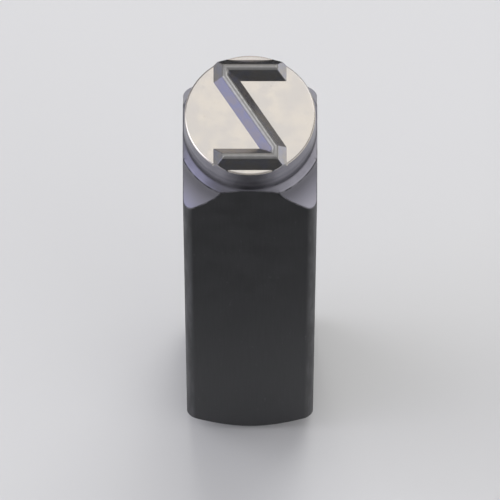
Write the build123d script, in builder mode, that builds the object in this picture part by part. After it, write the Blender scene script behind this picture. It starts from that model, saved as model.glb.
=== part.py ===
from build123d import *
import os
from math import acos, cos, degrees, radians, sqrt, tan

# Steel letter punch, one solid: a square shank turned down to a round neck with a flat face, from which
# one capital letter stands up in mirror image, so that it reads the right way round where it is struck.
#
# Lengths are millimetres and angles are degrees. +Z is up, the origin is the centre of the struck end, and
# the punch stands on that end with the letter on top. Seen from the front, from -Y, the foot of the letter
# is in front.

# Shank: square bar with rounded edges
overall_length = 65.0  # struck end to the letter's crest
shank_width = 13.0
shank_edge_radius = 1.0

# Struck end: flat, with a bevel turned round it
struck_flat_diameter = 11.4
struck_bevel_angle = 45.0  # from the axis

# Turned head: face and neck
face_diameter = 12.6
face_edge_break = 0.15
neck_length = 3.4  # floor of the face to the ledge at the neck's root
neck_half_angle = 1.7
neck_root_radius = 0.25  # hollow that the nose of the turning tool leaves

# Turned head: a narrow ledge at the neck's root, and the shoulder that sweeps from it to the bar's corners
ledge_width = 0.7  # across the axis
ledge_drop = 0.6  # along the axis
shoulder_half_angle = 6.0  # where the shoulder leaves the ledge
shoulder_sweep_radius = 7.0

# Letter: a mirrored Z of one stroke width, with flanks that spread to the floor of the face. A short upright
# along the letter's side joins each bar to the diagonal.
letter_height = 9.8  # over the crest
letter_width = 5.2  # over the crest
upright_length = 0.67  # inside the bend, from the bar to the diagonal
crest_width = 0.42
relief = 0.92  # crest above the floor of the face
flank_angle = 45.0  # from the axis

# Heights of the head above the struck end
face_height = overall_length - relief
neck_root_height = face_height - neck_length
ledge_height = neck_root_height - ledge_drop

# Radii of the turned head, along the neck's taper and over the ledge
face_radius = face_diameter / 2
neck_slope = tan(radians(neck_half_angle))
crest_radius = face_radius - relief * neck_slope
neck_root_radial = face_radius + neck_length * neck_slope
ledge_radius = neck_root_radial + ledge_width

# The turned outline runs outside the shank's corners between the shoulder and the struck end's bevel
clear_radius = shank_width / sqrt(2)
struck_radius = struck_flat_diameter / 2
bevel_height = (clear_radius - struck_radius) / tan(radians(struck_bevel_angle))

# Turn of the shoulder's arc on its way out to the clear radius
shoulder_reach = (clear_radius - ledge_radius) / shoulder_sweep_radius
shoulder_turn = degrees(acos(cos(radians(shoulder_half_angle)) - shoulder_reach)) - shoulder_half_angle


def diagonal_and_upright():
    """Corners of two strokes' crests: the diagonal, and the upright that joins it to the top bar."""
    side = letter_width / 2
    top = letter_height / 2
    upright_edge = side - crest_width
    inner_bend = top - crest_width - upright_length
    # Sideways run of the diagonal per unit of height, for a stroke as wide as the bars
    across, inner = 2 * upright_edge, 2 * inner_bend
    lean = (across * inner + crest_width * sqrt(across**2 + inner**2 - crest_width**2)) / (
        inner**2 - crest_width**2
    )
    half_run = crest_width / 2 * sqrt(1 + lean**2)
    outer_bend = (side - half_run) / lean
    upper_tip = (side + half_run) / lean
    diagonal = [(-side, upper_tip), (side, -outer_bend), (side, -upper_tip), (-side, outer_bend)]
    foot = (upright_edge - half_run) / lean
    upright = [(-side, top), (-upright_edge, top), (-upright_edge, foot), (-side, outer_bend)]
    return diagonal, upright


def tapered_stroke(crest_outline):
    """A stroke of the letter: flat crest, and flanks that spread down past the rim's broken edge."""
    with BuildPart() as stroke:
        with BuildSketch(Plane.XY.offset(overall_length)):
            with BuildLine():
                Polyline(*crest_outline, close=True)
            make_face()
        extrude(amount=-(relief + 2 * face_edge_break), taper=-flank_angle)
    return stroke.part


def rectangle(low_x, low_y, high_x, high_y):
    """Corners of a rectangle."""
    return [(low_x, low_y), (high_x, low_y), (high_x, high_y), (low_x, high_y)]


# The letter, which a half turn brings back onto itself. The diagonal's pointed ends are cut off along the
# letter's outer flanks.
with BuildPart() as letter:
    letter_side, letter_top = letter_width / 2, letter_height / 2
    diagonal, upright = diagonal_and_upright()
    add(tapered_stroke(diagonal))
    add(tapered_stroke(rectangle(-letter_side, -letter_top, letter_side, letter_top)), mode=Mode.INTERSECT)
    for turn in (0, 180):
        add(tapered_stroke(upright).rotate(Axis.Z, turn))
        bar = rectangle(-letter_side, letter_top - crest_width, letter_side, letter_top)
        add(tapered_stroke(bar).rotate(Axis.Z, turn))

# What is cut away round the letter: all the steel above the floor of the face, and the rim's sharp edge
waste_radius = face_radius + relief + neck_length
rim_inner = face_radius - face_edge_break

with BuildPart() as letter_waste:
    with BuildSketch(Plane.XY.offset(face_height)):
        Circle(waste_radius)
    extrude(amount=relief)
    with BuildSketch(Plane.XZ):
        with BuildLine():
            Polyline(
                (rim_inner, face_height),
                (waste_radius, face_height),
                (waste_radius, face_height - (waste_radius - rim_inner)),
                close=True,
            )
        make_face()
    revolve(axis=Axis.Z)
    add(letter.part, mode=Mode.SUBTRACT)

# The punch: square bar, turned at both ends, with the letter left standing on its face
with BuildPart() as letter_punch:
    with BuildSketch():
        RectangleRounded(shank_width, shank_width, shank_edge_radius)
    extrude(amount=overall_length)
    with BuildSketch(Plane.XZ) as turned_outline:
        with BuildLine():
            shoulder = JernArc(
                start=(ledge_radius, ledge_height),
                tangent=Vector(0, -1).rotate(Axis.Z, shoulder_half_angle),
                radius=shoulder_sweep_radius,
                arc_size=shoulder_turn,
            )
            Polyline(
                shoulder @ 1,
                (clear_radius, bevel_height),
                (struck_radius, 0),
                (0, 0),
                (0, overall_length),
                (crest_radius, overall_length),
                (neck_root_radial, neck_root_height),
                shoulder @ 0,
            )
        make_face()
        neck_root = turned_outline.vertices().sort_by_distance((neck_root_radial, neck_root_height))[0]
        fillet(neck_root, radius=neck_root_radius)
    revolve(axis=Axis.Z, mode=Mode.INTERSECT)
    add(letter_waste.part, mode=Mode.SUBTRACT)

letter_punch.part.label = "letter_punch"
os.makedirs("parts", exist_ok=True)
export_step(letter_punch.part, "parts/letter_punch.step")
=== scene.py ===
"""Steel letter punch: a square, black shank turned down to a bright face with a raised, mirrored letter."""

from math import acos, atan, cos, pi, radians, sin, sqrt, tan

import bmesh
import bpy
from bpy.props import FloatProperty, FloatVectorProperty, IntProperty, PointerProperty
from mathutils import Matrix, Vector


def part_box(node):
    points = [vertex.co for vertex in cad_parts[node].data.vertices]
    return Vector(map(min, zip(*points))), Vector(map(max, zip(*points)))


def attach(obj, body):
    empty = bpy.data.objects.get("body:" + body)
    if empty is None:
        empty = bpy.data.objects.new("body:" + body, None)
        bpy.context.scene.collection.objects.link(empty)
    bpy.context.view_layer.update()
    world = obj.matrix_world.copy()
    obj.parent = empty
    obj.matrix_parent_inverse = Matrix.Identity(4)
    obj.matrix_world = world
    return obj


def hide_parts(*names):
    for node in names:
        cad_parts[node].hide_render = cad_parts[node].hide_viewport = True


bl_info = {
    "name": "Steel letter punch",
    "version": (1, 0, 0),
    "blender": (4, 5, 0),
    "location": "3D View > Sidebar > Letter punch",
    "description": "Makes a steel letter punch with its finishes, and the stage that it stands on",
    "category": "Add Mesh",
}

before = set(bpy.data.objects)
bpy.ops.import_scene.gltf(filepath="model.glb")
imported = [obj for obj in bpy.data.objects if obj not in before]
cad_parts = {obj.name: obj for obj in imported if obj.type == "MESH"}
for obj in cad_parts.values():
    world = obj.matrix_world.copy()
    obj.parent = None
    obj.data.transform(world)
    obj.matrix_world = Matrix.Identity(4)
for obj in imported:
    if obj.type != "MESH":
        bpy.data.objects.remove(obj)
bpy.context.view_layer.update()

MM = 0.001
punch_low, punch_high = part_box("letter_punch")
punch_width, _, punch_length = (high - low for low, high in zip(punch_low, punch_high))

# Where two faces turn by more than this, their edge is a real one and not a facet of a curve
SHARP = radians(18)


def length(name, description, default):
    """A size in metres that shows as a length in the sidebar."""
    return FloatProperty(
        name=name,
        description=description,
        default=default,
        min=0.0,
        precision=5,
        unit="LENGTH",
        subtype="DISTANCE",
    )


def angle(name, description, degrees):
    """An angle up to a right angle, given in degrees."""
    return FloatProperty(
        name=name,
        description=description,
        default=radians(degrees),
        min=0.0,
        max=pi / 2,
        unit="ROTATION",
        subtype="ANGLE",
    )


def colour(name, description, default):
    """A colour in linear light."""
    return FloatVectorProperty(
        name=name, description=description, default=default, min=0.0, max=1.0, size=3, subtype="COLOR"
    )


class PunchSizes(bpy.types.PropertyGroup):
    """Sizes of the punch as the solid part has them, and of the fine roundings and turning marks that are
    made only here."""

    overall_length: length("Overall length", "Struck end to the crest of the letter", punch_length)
    shank_width: length("Shank width", "Across the flats of the square shank", punch_width)
    shank_edge_radius: length("Shank edge radius", "Rounding of the shank's long edges", 1.0 * MM)
    struck_flat: length("Struck flat", "Diameter of the flat that the hammer meets", 11.4 * MM)
    struck_bevel: angle("Struck bevel", "Bevel of the struck end, from the axis", 45.0)
    face_diameter: length("Face diameter", "Diameter of the face that the letter stands on", 12.6 * MM)
    face_edge_break: length("Face edge break", "Width of the broken edge round the face", 0.15 * MM)
    neck_length: length("Neck length", "Floor of the face to the ledge at the neck's root", 3.4 * MM)
    neck_taper: angle("Neck taper", "Half angle of the neck", 1.7)
    neck_root_radius: length("Neck root radius", "Hollow between the neck and its ledge", 0.25 * MM)
    ledge_width: length("Ledge width", "Step from the neck to the shoulder, across the axis", 0.7 * MM)
    ledge_drop: length("Ledge drop", "Step from the neck to the shoulder, along the axis", 0.6 * MM)
    shoulder_taper: angle("Shoulder taper", "Half angle of the shoulder where it leaves the ledge", 6.0)
    shoulder_radius: length("Shoulder radius", "Sweep of the shoulder, out to the corners", 7.0 * MM)
    letter_height: length("Letter height", "Over the letter's crest", 9.8 * MM)
    letter_width: length("Letter width", "Over the letter's crest", 5.2 * MM)
    upright_length: length("Upright length", "Inside the bend, from a bar to the diagonal", 0.67 * MM)
    crest_width: length("Crest width", "Flat top of the letter's strokes", 0.42 * MM)
    relief: length("Relief", "Height of the letter above the face", 0.92 * MM)
    flank: angle("Flank", "Slope of the letter's sides, from the axis", 45.0)
    turning_pitch: length("Turning pitch", "Spacing of the coarse turning marks on the neck", 0.86 * MM)
    turning_depth: length("Turning depth", "Depth of the coarse turning marks on the neck", 0.012 * MM)
    turned_edge_break: length("Turned edge break", "Rounding where turning meets a flat", 0.09 * MM)
    crest_edge_break: length("Crest edge break", "Rounding of the crest's edges", 0.17 * MM)
    mitre_break: length("Mitre break", "Rounding of the letter's other outer edges", 0.06 * MM)
    round_steps: IntProperty(
        name="Round steps", description="Facets round a turned surface", default=256, min=32
    )


class PunchColours(bpy.types.PropertyGroup):
    """Colours of the punch's finishes and of the floor."""

    oxide: colour("Oxide", "Black oxide on the shank", (0.027, 0.0275, 0.029))
    turned: colour("Turned steel", "Darkened steel of the neck and the shoulder", (0.27, 0.265, 0.30))
    ground: colour("Ground steel", "Bare steel of the face", (0.55, 0.507, 0.455))
    flank: colour("Flank steel", "Steel of the letter's flanks", (0.29, 0.285, 0.285))
    crest: colour("Crest steel", "Dulled steel of the letter's crest", (0.22, 0.216, 0.212))
    worn: colour("Worn edge", "Steel showing on the handled edges", (0.20, 0.197, 0.214))
    floor: colour("Floor", "Plain pale floor", (0.60, 0.60, 0.60))


class Wire:
    """A shader socket that can be used in sums. Each sum adds its Math node to the same finish."""

    def __init__(self, finish, socket):
        self.finish = finish
        self.socket = socket

    def math(self, operation, first, second):
        return self.finish.node("ShaderNodeMath", {0: first, 1: second}, operation=operation)

    def __add__(self, other):
        return self.math("ADD", self, other)

    def __sub__(self, other):
        return self.math("SUBTRACT", self, other)

    def __rsub__(self, other):
        return self.math("SUBTRACT", other, self)

    def __mul__(self, other):
        return self.math("MULTIPLY", self, other)

    __radd__ = __add__
    __rmul__ = __mul__


class Finish:
    """A node tree under construction: a material's or the world's."""

    def __init__(self, owner):
        owner.use_nodes = True
        self.owner = owner
        self.tree = owner.node_tree
        self.tree.nodes.clear()

    def node(self, kind, inputs=(), output=0, **settings):
        """Adds a node, first its settings and then the values or wires of its sockets. Gives one output."""
        made = self.tree.nodes.new(kind)
        for name, value in settings.items():
            setattr(made, name, value)
        for name, value in dict(inputs).items():
            socket = made.inputs[name]
            if isinstance(value, Wire):
                self.tree.links.new(value.socket, socket)
            elif socket.type == "RGBA":
                socket.default_value = (*value, 1.0)
            else:
                socket.default_value = value
        return Wire(self, made.outputs[output]) if len(made.outputs) else None

    def place(self):
        """Where a point of the surface is, in millimetres."""
        at = self.node("ShaderNodeTexCoord", output="Object")
        return self.node("ShaderNodeVectorMath", {0: at, "Scale": 1 / MM}, operation="SCALE")

    def part(self, at, axis):
        """The part of a place along one axis."""
        return self.node("ShaderNodeSeparateXYZ", {0: at}, output=axis)

    def noise(self, at, scale, detail=3.0, roughness=0.55):
        """Cloudy noise. With a scale for each axis, it is drawn out along an axis whose scale is small."""
        if isinstance(scale, tuple):
            at = self.node("ShaderNodeMapping", {"Vector": at, "Scale": scale})
            scale = 1.0
        inputs = {"Vector": at, "Scale": scale, "Detail": detail, "Roughness": roughness}
        return self.node("ShaderNodeTexNoise", inputs)

    def rings(self, height, per_mm):
        """Marks that run round the axis, uneven along it."""
        inputs = {"W": height, "Scale": per_mm, "Detail": 3.0, "Roughness": 0.6}
        return self.node("ShaderNodeTexNoise", inputs, noise_dimensions="1D")

    def between(self, value, low, high):
        """0 below low, 1 above high, smooth between."""
        inputs = {"Value": value, "From Min": low, "From Max": high}
        return self.node("ShaderNodeMapRange", inputs, interpolation_type="SMOOTHSTEP")

    def mix(self, factor, first, second):
        """Blends two colours. The node has them at inputs 6 and 7 and gives the blend at output 2."""
        return self.node("ShaderNodeMix", {0: factor, 6: first, 7: second}, output=2, data_type="RGBA")

    def bump(self, height, distance):
        """Turns a height between 0 and 1 into a normal, for relief of the given depth in metres."""
        return self.node("ShaderNodeBump", {"Height": height, "Distance": distance})

    def surface(self, inputs):
        """Ends a material in its one shader, and returns the material."""
        shader = self.node("ShaderNodeBsdfPrincipled", inputs)
        self.node("ShaderNodeOutputMaterial", {"Surface": shader})
        return self.owner


def new_finish(name):
    return Finish(bpy.data.materials.new(name))


def shaded(shade, *factors):
    """A colour with its parts scaled, by one factor or by three."""
    return tuple(part * factor for part, factor in zip(shade, factors * (3 // len(factors))))


def head_heights(sizes):
    """Heights of the face, of the neck's root and of the ledge's outer edge."""
    face = sizes.overall_length - sizes.relief
    root = face - sizes.neck_length
    return face, root, root - sizes.ledge_drop


def black_oxide(scene):
    """Shank and struck end: dark oxide over faint marks along the bar, scuffed, and lighter on the long
    edges, partly rubbed oxide and partly a painted highlight.
    """
    sizes, oxide = scene.punch_sizes, scene.punch_colours.oxide
    finish = new_finish("black_oxide")
    at = finish.place()
    cloud = finish.noise(at, 0.35, detail=5.0)
    drawn = finish.noise(at, (6.0, 6.0, 0.18), detail=4.0)
    grain = finish.noise(at, 9.0)
    scuff = finish.between(finish.noise(at, (2.4, 2.4, 0.5), detail=6.0, roughness=0.7), 0.62, 0.78)
    tone = finish.between(cloud * 0.5 + drawn * 0.5, 0.36, 0.64)
    blacked = finish.mix(tone, shaded(oxide, 0.8), shaded(oxide, 1.2))
    scuffed = finish.mix(scuff * 0.5, blacked, shaded(oxide, 2.6))

    # The long edges are the places of the shank that are furthest from its axis
    radius = sizes.shank_edge_radius / MM
    corner = sqrt(2) * (sizes.shank_width / 2 / MM - radius) + radius
    x, y = finish.part(at, "X"), finish.part(at, "Y")
    edge = finish.between(x * x + y * y, (corner - 0.23) ** 2, (corner - 0.01) ** 2)
    # Lighter broken stretches along the long edges: partly rubbed oxide, partly a painted highlight
    rub_and_sheen = finish.between(finish.noise(at, (1.2, 1.2, 0.15), detail=6.0), 0.36, 0.68)
    return finish.surface(
        {
            "Base Color": finish.mix(edge * rub_and_sheen * 0.5, scuffed, shaded(oxide, 4.5)),
            "Metallic": 0.0,
            "Roughness": 0.36 + 0.16 * cloud + 0.08 * drawn - 0.1 * scuff,
            "Specular IOR Level": 0.24,
            "Normal": finish.bump(drawn * 0.6 + grain * 0.4, 0.006 * MM),
        }
    )


def turned_steel(scene):
    """Neck, ledge and shoulder: steel with rings left by the turning tool, with painted shade at the neck's
    root and where the shoulder begins, and a painted highlight lower on the shoulder."""
    turned_colour = scene.punch_colours.turned
    root, ledge = (height / MM for height in head_heights(scene.punch_sizes)[1:])
    finish = new_finish("turned_steel")
    at = finish.place()
    z = finish.part(at, "Z")
    coarse = finish.rings(z, 1.6)
    fine = finish.rings(z, 11.0)
    cloud = finish.noise(at, 0.9, detail=4.0)
    tone = finish.between(coarse * 0.5 + fine * 0.2 + cloud * 0.3, 0.36, 0.64)
    steel = finish.mix(tone, shaded(turned_colour, 0.84), shaded(turned_colour, 1.22))
    # Painted shade: the neck's colour is darkened just above its root, in the corner by the ledge
    above_root = finish.between(z, root - 0.18, root + 0.02)
    painted_root_shade = above_root * (1 - finish.between(z, root + 0.12, root + 1.72))
    neck = finish.mix(painted_root_shade, steel, shaded(turned_colour, 0.55))
    below_ledge = 1 - finish.between(z, ledge - 0.18, ledge + 0.12)
    # Painted shade at the top of the shoulder by the ledge, turning to a painted highlight lower down
    painted_shoulder_light = 1 - finish.between(z, ledge - 3.48, ledge - 0.48)
    shoulder = finish.mix(painted_shoulder_light, shaded(turned_colour, 0.62), shaded(turned_colour, 1.35))
    return finish.surface(
        {
            "Base Color": finish.mix(below_ledge, neck, shoulder),
            "Metallic": 1.0,
            "Roughness": 0.27 + 0.12 * cloud + 0.08 * fine,
            "Normal": finish.bump(coarse * 0.5 + fine, 0.014 * MM),
        }
    )


def ground_face(scene):
    """Face: bare steel, ground nearly to a mirror, with a faint cloudiness and a few pits."""
    ground = scene.punch_colours.ground
    finish = new_finish("ground_face")
    at = finish.place()
    cloud = finish.noise(at, 0.55, detail=5.0)
    scratches = finish.noise(at, (14.0, 0.8, 14.0))
    cross = finish.noise(at, (1.1, 17.0, 17.0))
    pits = finish.node("ShaderNodeTexVoronoi", {"Vector": at, "Scale": 1.15}, output="Distance")
    pit = 1 - finish.between(pits, 0.02, 0.07)
    clean = finish.mix(finish.between(cloud, 0.35, 0.68), shaded(ground, 0.90, 0.92, 0.96), ground)
    return finish.surface(
        {
            "Base Color": finish.mix(pit * 0.8, clean, shaded(ground, 0.35)),
            "Metallic": 1.0,
            "Roughness": 0.17 + 0.14 * cloud,
            "Normal": finish.bump(scratches * 0.5 + cross * 0.5 - pit * 0.6, 0.004 * MM),
        }
    )


def letter_flank(scene):
    """Flanks of the letter: cut steel, bluer and browner in faint patches."""
    flank = scene.punch_colours.flank
    finish = new_finish("letter_flank")
    at = finish.place()
    patches = finish.noise(at, 1.1, detail=2.0)
    fine = finish.noise(at, 7.0)
    blue = shaded(flank, 0.93, 0.955, 1.08)
    brown = shaded(flank, 1.02, 0.995, 0.965)
    return finish.surface(
        {
            "Base Color": finish.mix(finish.between(patches * 0.8 + fine * 0.2, 0.38, 0.62), brown, blue),
            "Metallic": 1.0,
            "Roughness": 0.18 + 0.12 * fine,
            "Normal": finish.bump(fine, 0.003 * MM),
        }
    )


def letter_crest(scene):
    """Crest of the letter: the working edge, dulled by hardening and use."""
    crest = scene.punch_colours.crest
    finish = new_finish("letter_crest")
    rubbed = finish.noise(finish.place(), 2.4, detail=4.0)
    return finish.surface(
        {
            "Base Color": finish.mix(rubbed, shaded(crest, 0.8), shaded(crest, 1.2)),
            "Metallic": 1.0,
            "Roughness": 0.42 - 0.16 * rubbed,
            "Normal": finish.bump(rubbed, 0.004 * MM),
        }
    )


def worn_edge(scene):
    """Broken edges, rubbed to lighter steel in places."""
    worn = scene.punch_colours.worn
    finish = new_finish("worn_edge")
    rubbed = finish.between(finish.noise(finish.place(), 1.3, detail=4.0), 0.36, 0.6)
    return finish.surface(
        {
            "Base Color": finish.mix(rubbed, shaded(worn, 0.4), worn),
            "Metallic": 1.0,
            "Roughness": 0.42 - 0.14 * rubbed,
        }
    )


# In the order of the punch's material slots
FINISHES = (black_oxide, turned_steel, ground_face, letter_flank, letter_crest, worn_edge)


def pale_floor(scene):
    floor = scene.punch_colours.floor
    return new_finish("pale_floor").surface(
        {"Base Color": floor, "Roughness": 0.85, "Specular IOR Level": 0.2}
    )


def only(obj):
    """Deselects everything, then selects one object and makes it active."""
    bpy.ops.object.select_all(action="DESELECT")
    obj.select_set(True)
    bpy.context.view_layer.objects.active = obj


def open_mesh(obj):
    """Goes into edit mode on one object with all of its mesh selected."""
    only(obj)
    bpy.ops.object.mode_set(mode="EDIT")
    bpy.ops.mesh.select_mode(type="VERT")
    bpy.ops.mesh.select_all(action="SELECT")


def close_mesh():
    bpy.ops.object.mode_set(mode="OBJECT")


def pick(obj, kind, wanted):
    """In edit mode, selects the edges or faces for which wanted is true."""
    bpy.ops.mesh.select_mode(type=kind)
    bpy.ops.mesh.select_all(action="DESELECT")
    mesh = bmesh.from_edit_mesh(obj.data)
    for item in mesh.edges if kind == "EDGE" else mesh.faces:
        if wanted(item):
            item.select_set(True)
    mesh.select_flush_mode()
    bmesh.update_edit_mesh(obj.data)


def apply_modifier(obj, kind, **settings):
    only(obj)
    bpy.ops.object.modifier_add(type=kind)
    modifier = obj.modifiers[-1]
    for name, value in settings.items():
        setattr(modifier, name, value)
    bpy.ops.object.modifier_apply(modifier=modifier.name)


def combine(target, tool, operation):
    """Joins, cuts or intersects target with tool, and removes tool."""
    apply_modifier(target, "BOOLEAN", operation=operation, object=tool, solver="EXACT")
    mesh = tool.data
    bpy.data.objects.remove(tool)
    bpy.data.meshes.remove(mesh)


def block(low, high):
    """A cube primitive stretched between two corners, with its place in its mesh."""
    middle = [(a + b) / 2 for a, b in zip(low, high)]
    bpy.ops.mesh.primitive_cube_add(size=1, location=middle)
    made = bpy.context.object
    open_mesh(made)
    bpy.ops.transform.resize(value=[b - a for a, b in zip(low, high)])
    close_mesh()
    bpy.ops.object.transform_apply(location=True)
    return made


def square_bar(sizes, top):
    """The stock: a square bar with rounded long edges, a little over length at both ends."""
    half = sizes.shank_width / 2
    over = 1 * MM
    bar = block((-half, -half, -over), (half, half, top + over))
    open_mesh(bar)
    pick(bar, "EDGE", lambda edge: abs(edge.verts[0].co.z - edge.verts[1].co.z) > half)
    bpy.ops.mesh.bevel(offset=sizes.shank_edge_radius, segments=10, affect="EDGES")
    close_mesh()
    return bar


def bend(corner, before, after, radius, steps):
    """Points of an arc that rounds a corner of an outline."""
    corner, before, after = Vector(corner), Vector(before), Vector(after)
    back = (before - corner).normalized()
    onward = (after - corner).normalized()
    half_angle = back.angle(onward) / 2
    centre = corner + (back + onward).normalized() * radius / sin(half_angle)
    start = corner + back * radius / tan(half_angle) - centre
    end = corner + onward * radius / tan(half_angle) - centre
    points = []
    for step in range(steps + 1):
        spoke = start.lerp(end, step / steps)
        points.append(tuple(centre + spoke.normalized() * radius))
    return points


def neck_radius(sizes, height):
    """Radius of the neck's plain taper at a height. The taper runs on above the face."""
    face_height = head_heights(sizes)[0]
    return sizes.face_diameter / 2 + (face_height - height) * tan(sizes.neck_taper)


def turned_outline(sizes, top):
    """Radius and height along the turned blank, from the struck end up to the given height."""
    root_height, ledge_height = head_heights(sizes)[1:]
    root_radius = neck_radius(sizes, root_height)
    ledge_radius = root_radius + sizes.ledge_width

    # Struck end: the bevel runs out a little past the bar's corners, as the shoulder does
    clear = sizes.shank_width / sqrt(2) + 0.1 * MM
    struck = sizes.struck_flat / 2
    outline = [(0, 0), (struck, 0), (clear, (clear - struck) / tan(sizes.struck_bevel))]

    # Shoulder: an arc that leaves the ledge nearly upright and flares towards the corners of the bar
    steep = sizes.shoulder_taper
    flat = acos(cos(steep) - (clear - ledge_radius) / sizes.shoulder_radius)
    steps = 24
    for step in range(steps + 1):
        lean = flat + (steep - flat) * step / steps
        across = sizes.shoulder_radius * (cos(steep) - cos(lean))
        down = sizes.shoulder_radius * (sin(lean) - sin(steep))
        outline.append((ledge_radius + across, ledge_height - down))

    # Neck, with coarse turning marks, of which no two are quite as deep
    end = (neck_radius(sizes, top), top)
    outline += bend((root_radius, root_height), outline[-1], end, sizes.neck_root_radius, 5)
    marks = 3
    steps = 8
    first = root_height + 0.5 * sizes.turning_pitch
    for step in range(marks * steps + 1):
        turn = step / steps
        height = first + turn * sizes.turning_pitch
        depth = sizes.turning_depth * (0.8 + 0.2 * sin(2.3 * int(turn)))
        outline.append((neck_radius(sizes, height) - depth * (1 - cos(2 * pi * turn)) / 2, height))
    return outline + [end, (0, top)]


def turned(outline, steps):
    """A solid of revolution: the outline is drawn point by point and spun round the axis."""
    bpy.ops.mesh.primitive_plane_add(size=MM)
    made = bpy.context.object
    open_mesh(made)
    bpy.ops.mesh.merge(type="CENTER")
    bpy.ops.transform.translate(value=(outline[0][0], 0, outline[0][1]))
    for (r0, z0), (r1, z1) in zip(outline, outline[1:]):
        bpy.ops.mesh.extrude_region_move(TRANSFORM_OT_translate={"value": (r1 - r0, 0, z1 - z0)})
    bpy.ops.mesh.select_all(action="SELECT")
    bpy.ops.mesh.spin(steps=steps, angle=2 * pi, center=(0, 0, 0), axis=(0, 0, 1))
    bpy.ops.mesh.select_all(action="SELECT")
    bpy.ops.mesh.remove_doubles(threshold=0.001 * MM)
    bpy.ops.mesh.normals_make_consistent(inside=False)
    bpy.ops.mesh.dissolve_limited(angle_limit=radians(0.05))
    close_mesh()
    return made


def stroke(sizes, low, high, root):
    """One stroke of the letter: its crest is the given rectangle, and its flanks spread down to root."""
    crest = sizes.overall_length
    spread = 2 * (crest - root) * tan(sizes.flank)
    wide, tall = high[0] - low[0], high[1] - low[1]
    made = block((*low, root), (*high, crest))
    open_mesh(made)
    pick(made, "FACE", lambda face: face.normal.z < -0.5)
    bpy.ops.transform.resize(value=((wide + spread) / wide, (tall + spread) / tall, 1))
    close_mesh()
    return made


def trim(made, sizes, ways):
    """Cuts a stroke off along flanks that look the given ways, each at its reach from the letter's centre."""
    open_mesh(made)
    for x, y, reach in ways:
        bpy.ops.mesh.select_all(action="SELECT")
        bpy.ops.mesh.bisect(
            plane_co=(x * reach, y * reach, sizes.overall_length),
            plane_no=(x * cos(sizes.flank), y * cos(sizes.flank), sin(sizes.flank)),
            use_fill=True,
            clear_outer=True,
            threshold=0.0001 * MM,
        )
    close_mesh()


def letter_strokes(sizes, root):
    """The mirrored letter: a diagonal, two short uprights at its ends, and two bars."""
    side, top = sizes.letter_width / 2, sizes.letter_height / 2
    line = sizes.crest_width
    upright_edge = side - line

    # Lean of a diagonal as wide as the bars, from the one bend to the other
    across = 2 * upright_edge
    inner = 2 * (top - line - sizes.upright_length)
    lean = (across * inner + line * sqrt(across**2 + inner**2 - line**2)) / (inner**2 - line**2)

    # The diagonal is made over length, turned, and trimmed along the letter's outer flanks
    diagonal = stroke(sizes, (-line / 2, -2 * top), (line / 2, 2 * top), root)
    open_mesh(diagonal)
    bpy.ops.transform.rotate(value=-atan(lean), orient_axis="Z", center_override=(0, 0, 0))
    close_mesh()
    trim(diagonal, sizes, ((1, 0, side), (-1, 0, side), (0, 1, top), (0, -1, top)))

    # An upright reaches from its bar to the diagonal's far edge, and is trimmed there
    foot = (upright_edge - line / 2 * sqrt(1 + lean**2)) / lean
    for way in (1, -1):
        corners = sorted((way * side, way * upright_edge)), sorted((-way * foot, -way * top))
        upright = stroke(sizes, *zip(*corners), root)
        trim(upright, sizes, ((way * cos(atan(lean)), way * sin(atan(lean)), line / 2),))
        combine(diagonal, upright, "UNION")
    for edge in (-top, top - line):
        combine(diagonal, stroke(sizes, (-side, edge), (side, edge + line), root), "UNION")
    open_mesh(diagonal)
    bpy.ops.mesh.remove_doubles(threshold=0.002 * MM)
    bpy.ops.mesh.dissolve_limited(angle_limit=radians(0.5))
    close_mesh()
    return diagonal


def waste_outline(sizes, top):
    """Radius and height round what is cut off above the face. It rounds the rim, and then slopes down clear
    of the neck and the shoulder."""
    face_height, root_height, _ = head_heights(sizes)
    face_radius = sizes.face_diameter / 2
    below = (neck_radius(sizes, root_height), root_height)
    rim = bend((face_radius, face_height), (0, face_height), below, sizes.face_edge_break, 4)
    last_radius, last_height = rim.pop()
    past = 0.001 * MM
    far = 2 * face_radius
    slope = 0.5
    rim.append((last_radius + past, last_height))
    rim.append((far, last_height - slope * (far - last_radius)))
    return [(0, face_height), *rim, (far, top + MM), (0, top + MM)]


def cut_face(punch, sizes, top):
    """Cuts the end down to the floor of the face and leaves the letter standing. The letter's flanks are made
    deeper than the floor, so that they cross it."""
    waste = turned(waste_outline(sizes, top), sizes.round_steps)
    root = sizes.overall_length - 1.5 * sizes.relief
    combine(waste, letter_strokes(sizes, root), "DIFFERENCE")
    combine(punch, waste, "DIFFERENCE")


def break_edges(punch, width, share_of, **settings):
    """Rounds edges in one bevel. share_of gives each edge its share of the width, or 0 to keep it sharp."""
    open_mesh(punch)
    bpy.ops.mesh.remove_doubles(threshold=0.002 * MM)
    bpy.ops.transform.edge_bevelweight(value=-1.0)
    shares = {share_of(edge) for edge in bmesh.from_edit_mesh(punch.data).edges}
    for share in sorted(shares - {0.0}):
        pick(punch, "EDGE", lambda edge: share_of(edge) == share)
        bpy.ops.transform.edge_bevelweight(value=share)
    close_mesh()
    apply_modifier(
        punch,
        "BEVEL",
        width=width,
        segments=3,
        limit_method="WEIGHT",
        use_clamp_overlap=False,
        **settings,
    )


def break_turned_edges(punch, sizes):
    """Rounds the edges that turning left, and lays worn steel on them. Across the middle of each flat there
    is hardly any ledge, so the rounding narrows there."""
    half = sizes.shank_width / 2
    narrower = ((0.02 * MM, 0.15), (0.05 * MM, 0.35), (0.08 * MM, 0.7))

    def share_of(edge):
        if edge.calc_face_angle(0.0) < SHARP or edge.verts[0].co.z > sizes.overall_length:
            return 0.0
        centre = (edge.verts[0].co + edge.verts[1].co) / 2
        if centre.z > half:
            for reach, share in narrower:
                if centre.xy.length - half < reach:
                    return share
        return 1.0

    break_edges(punch, sizes.turned_edge_break, share_of, material=FINISHES.index(worn_edge))


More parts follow.
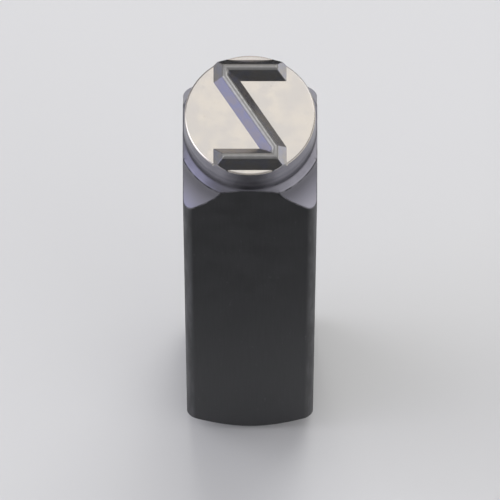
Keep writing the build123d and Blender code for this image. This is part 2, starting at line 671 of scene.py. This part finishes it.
def break_letter_edges(punch, sizes):
    """Rounds the crest's edges, and more narrowly the other outer edges of the letter."""
    crest = sizes.overall_length
    floor = crest - sizes.relief
    near = 0.02 * MM

    def share_of(edge):
        low = min(vert.co.z for vert in edge.verts)
        if low > crest - near:
            return 1.0
        if low > floor - near and edge.is_convex and edge.calc_face_angle(0.0) > SHARP:
            return sizes.mitre_break / sizes.crest_edge_break
        return 0.0

    break_edges(punch, sizes.crest_edge_break, share_of)


def finish_of(face, sizes):
    """The finish that a face of the punch gets, by where it is and how far it looks up."""
    floor, _, ledge = head_heights(sizes)
    height, up = face.center.z, face.normal.z
    if face.material_index == FINISHES.index(worn_edge):
        return worn_edge
    if height > sizes.overall_length - sizes.crest_edge_break:
        return letter_crest
    if height > floor + 0.01 * MM and up > 0.3:
        return letter_flank
    if height > floor - sizes.face_edge_break and up > 0.1:
        return ground_face
    if height > ledge or up > 0.01:
        return turned_steel
    return black_oxide


def lay_finishes(punch, sizes):
    """Puts each face of the punch in the material slot of its finish."""
    for face in punch.data.polygons:
        face.material_index = FINISHES.index(finish_of(face, sizes))


class MESH_OT_letter_punch(bpy.types.Operator):
    """Makes the punch from a square bar: turned at both ends, cut round its letter, and finished"""

    bl_idname = "mesh.letter_punch"
    bl_label = "Letter Punch"

    def execute(self, context):
        sizes = context.scene.punch_sizes

        # The blank stays over length above the letter's crest until the face is cut
        top = sizes.overall_length + 1 * MM
        punch = square_bar(sizes, top)
        punch.name = punch.data.name = "letter_punch_steel"
        combine(punch, turned(turned_outline(sizes, top), sizes.round_steps), "INTERSECT")
        for finish in FINISHES:
            punch.data.materials.append(finish(context.scene))
        break_turned_edges(punch, sizes)
        cut_face(punch, sizes, top)
        break_letter_edges(punch, sizes)
        lay_finishes(punch, sizes)
        only(punch)
        bpy.ops.object.shade_smooth_by_angle(angle=radians(28))
        apply_modifier(punch, "WEIGHTED_NORMAL", keep_sharp=True, weight=80)
        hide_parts("letter_punch")
        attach(punch, "root")
        return {"FINISHED"}


def softbox(name, at, size, radiance):
    """A flat lamp that faces the upper part of the punch. The radiance says how bright it looks, whatever its
    size. It isn't itself in the picture."""
    aim = Vector((0, 0, 50 * MM))
    bpy.ops.object.light_add(type="AREA", location=at)
    lamp = bpy.context.object
    lamp.name = name
    lamp.data.shape = "RECTANGLE"
    lamp.data.size, lamp.data.size_y = size
    lamp.data.energy = radiance * pi * size[0] * size[1]
    lamp.rotation_mode = "QUATERNION"
    lamp.rotation_quaternion = (Vector(at) - aim).to_track_quat("Z", "Y")
    lamp.visible_camera = False
    return lamp


def dark_card(name, low, high):
    """A black card just above the floor. Only the steel sees it, as a dark place in its reflection."""
    middle = [(a + b) / 2 for a, b in zip(low, high)]
    bpy.ops.mesh.primitive_plane_add(size=1, location=(*middle, 1 * MM))
    card = bpy.context.object
    card.name = card.data.name = name
    card.scale = (high[0] - low[0], high[1] - low[1], 1)
    for rays in ("camera", "diffuse", "transmission", "volume_scatter", "shadow"):
        setattr(card, "visible_" + rays, False)
    black = {"Base Color": (0.01, 0.01, 0.01), "Roughness": 0.9, "Specular IOR Level": 0.0}
    card.data.materials.append(new_finish("black_card").surface(black))


def studio_world(scene):
    """A soft grey room. Bright steel shows what it mirrors, so each patch of light or dark in the room is
    there for one part of the punch."""
    scene.world = bpy.data.worlds.new("studio")
    room = Finish(scene.world)
    way = room.node("ShaderNodeTexCoord", output="Generated")

    def glow(toward, inner, outer):
        """1 within inner degrees of a direction, 0 beyond outer."""
        aim = Vector(toward).normalized()
        facing = room.node("ShaderNodeVectorMath", {0: way, 1: aim}, output="Value", operation="DOT_PRODUCT")
        return room.between(facing, cos(radians(outer)), cos(radians(inner)))

    shade = (0.22, 0.22, 0.226)
    patches = (
        # Overhead: floor and shank, and then the face seen from above
        ((0, 0, 1), 10, 80, (0.60, 0.60, 0.61)),
        ((0, 0, 1), 6, 16, (0.95, 0.95, 0.96)),
        # High on the left: left roundings of the crest
        ((-0.62, 0.10, 0.78), 8, 24, (3.4, 3.4, 3.6)),
        # Low behind: rear flanks of the bars
        ((0.0, 0.92, 0.40), 10, 24, (1.25, 1.2, 1.15)),
        # High behind on the right: right roundings of the crest
        ((0.34, 0.58, 0.74), 6, 16, (3.6, 3.6, 3.6)),
        # In front on the right: right side of the shoulder and ledge
        ((0.80, -0.45, 0.38), 16, 38, (1.15, 1.14, 1.15)),
        # Left, bluish: left flank of the diagonal
        ((-0.90, -0.30, 0.25), 14, 28, (1.05, 1.05, 1.42)),
        # Right and left: ends of the bars
        ((0.92, 0.40, 0.0), 16, 36, (1.85, 1.82, 1.78)),
        ((-0.92, 0.40, 0.0), 14, 32, (0.70, 0.70, 0.72)),
        # High in front: the face seen from behind
        ((0, -0.70, 0.71), 6, 22, (0.62, 0.62, 0.63)),
        # Dark, in front: front flanks of the bars
        ((0, -0.92, 0.39), 6, 14, (0.04, 0.042, 0.042)),
    )
    for toward, inner, outer, tint in patches:
        shade = room.mix(glow(toward, inner, outer), shade, tint)
    room.node("ShaderNodeOutputWorld", {"Surface": room.node("ShaderNodeBackground", {"Color": shade})})


def place_camera(scene, sizes):
    """The photograph's view: high in front of the punch and far off, with the punch filling the frame."""
    elevation = radians(66.5)
    distance = 0.77
    framed = 50 * MM
    sensor_mm = 36
    aim = Vector((0, 0, sizes.overall_length / 2 - 1 * MM))
    bpy.ops.object.camera_add(location=aim + distance * Vector((0, -cos(elevation), sin(elevation))))
    camera = bpy.context.object
    camera.name = "photo_view"
    camera.rotation_euler = (pi / 2 - elevation, 0, 0)
    camera.data.sensor_width = sensor_mm
    camera.data.lens = sensor_mm * distance / framed
    camera.data.clip_start = 0.05
    camera.data.clip_end = 20
    scene.camera = camera


class SCENE_OT_punch_stage(bpy.types.Operator):
    """Adds the pale floor, the dark cards, the soft lights, the room's light and the camera"""

    bl_idname = "scene.punch_stage"
    bl_label = "Punch Stage"

    def execute(self, context):
        scene = context.scene
        bpy.ops.mesh.primitive_plane_add(size=6)
        floor = context.object
        floor.name = floor.data.name = "floor"
        floor.data.materials.append(pale_floor(scene))
        dark_card("front_card", (-0.022, -0.12), (0.022, -0.02))
        dark_card("back_card", (-0.05, 0.09), (0.05, 0.25))
        studio_world(scene)
        softbox("top_softbox", (0.03, 0.24, 0.50), (0.36, 0.24), 0.80)

        # The strong lamp lights the floor and the shank, and its hard image is kept off the bright steel
        strong = softbox("back_softbox", (0.02, 0.45, 0.50), (0.3, 0.3), 4.0)
        strong.visible_glossy = False
        place_camera(scene, scene.punch_sizes)
        scene.view_settings.view_transform = "Standard"
        return {"FINISHED"}


class VIEW3D_PT_letter_punch(bpy.types.Panel):
    """Lists the punch's sizes, colours and operators"""

    bl_label = "Letter Punch"
    bl_idname = "VIEW3D_PT_letter_punch"
    bl_space_type = "VIEW_3D"
    bl_region_type = "UI"
    bl_category = "Letter Punch"

    def draw(self, context):
        layout = self.layout
        for group in (context.scene.punch_sizes, context.scene.punch_colours):
            column = layout.column(align=True)
            for name in group.__annotations__:
                column.prop(group, name)
        layout.operator(MESH_OT_letter_punch.bl_idname)
        layout.operator(SCENE_OT_punch_stage.bl_idname)


CLASSES = (PunchSizes, PunchColours, MESH_OT_letter_punch, SCENE_OT_punch_stage, VIEW3D_PT_letter_punch)


def register():
    for cls in CLASSES:
        bpy.utils.register_class(cls)
    bpy.types.Scene.punch_sizes = PointerProperty(type=PunchSizes)
    bpy.types.Scene.punch_colours = PointerProperty(type=PunchColours)


def unregister():
    del bpy.types.Scene.punch_colours
    del bpy.types.Scene.punch_sizes
    for cls in reversed(CLASSES):
        bpy.utils.unregister_class(cls)


def main():
    register()
    bpy.ops.mesh.letter_punch()
    bpy.ops.scene.punch_stage()


if __name__ == "__main__":
    main()
